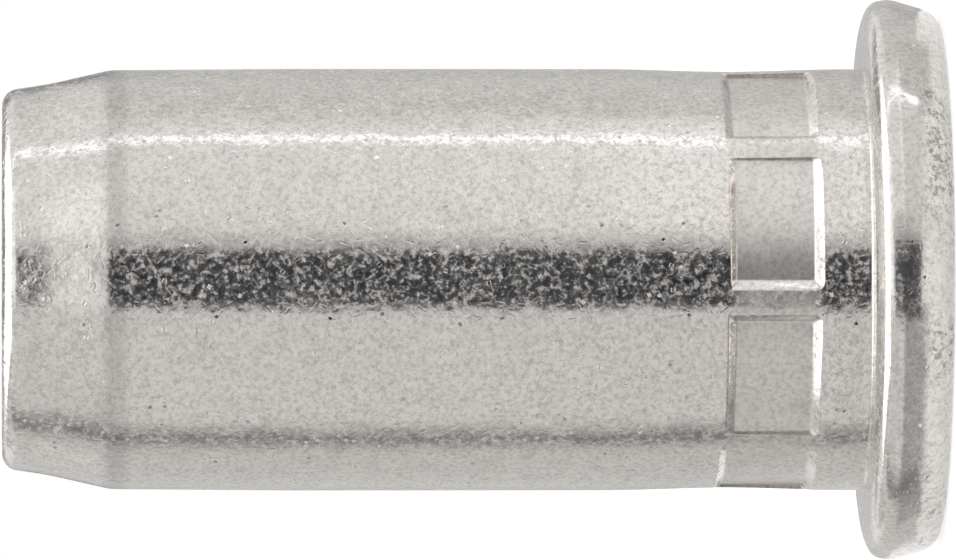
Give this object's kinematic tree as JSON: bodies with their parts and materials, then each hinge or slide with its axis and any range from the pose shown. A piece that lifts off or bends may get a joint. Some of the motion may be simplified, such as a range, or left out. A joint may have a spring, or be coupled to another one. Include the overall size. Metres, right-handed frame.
{
  "type": "rivet nut",
  "caption": "Round blind rivet nut with a flat head, pressed pockets under the head, a thin bulging wall and an internal thread at the tapered end.",
  "frame": {"origin": "centre of the head's outer face, on which the nut stands", "axes": "+Z along the nut's axis, from the head to the open threaded end; the pockets are mirrored about the plane through the axis at 83.9 degrees counter-clockwise from +X, seen from above, with the nearest pockets' middles 22.5 degrees to each side of it"},
  "size_m": [0.012, 0.012, 0.02],
  "materials": {
    "aluminium": "bare tumbled aluminium with fine dents and scratches, satin"
  },
  "bodies": {
    "root": {"nut_body": "aluminium"}
  },
  "joints": []
}
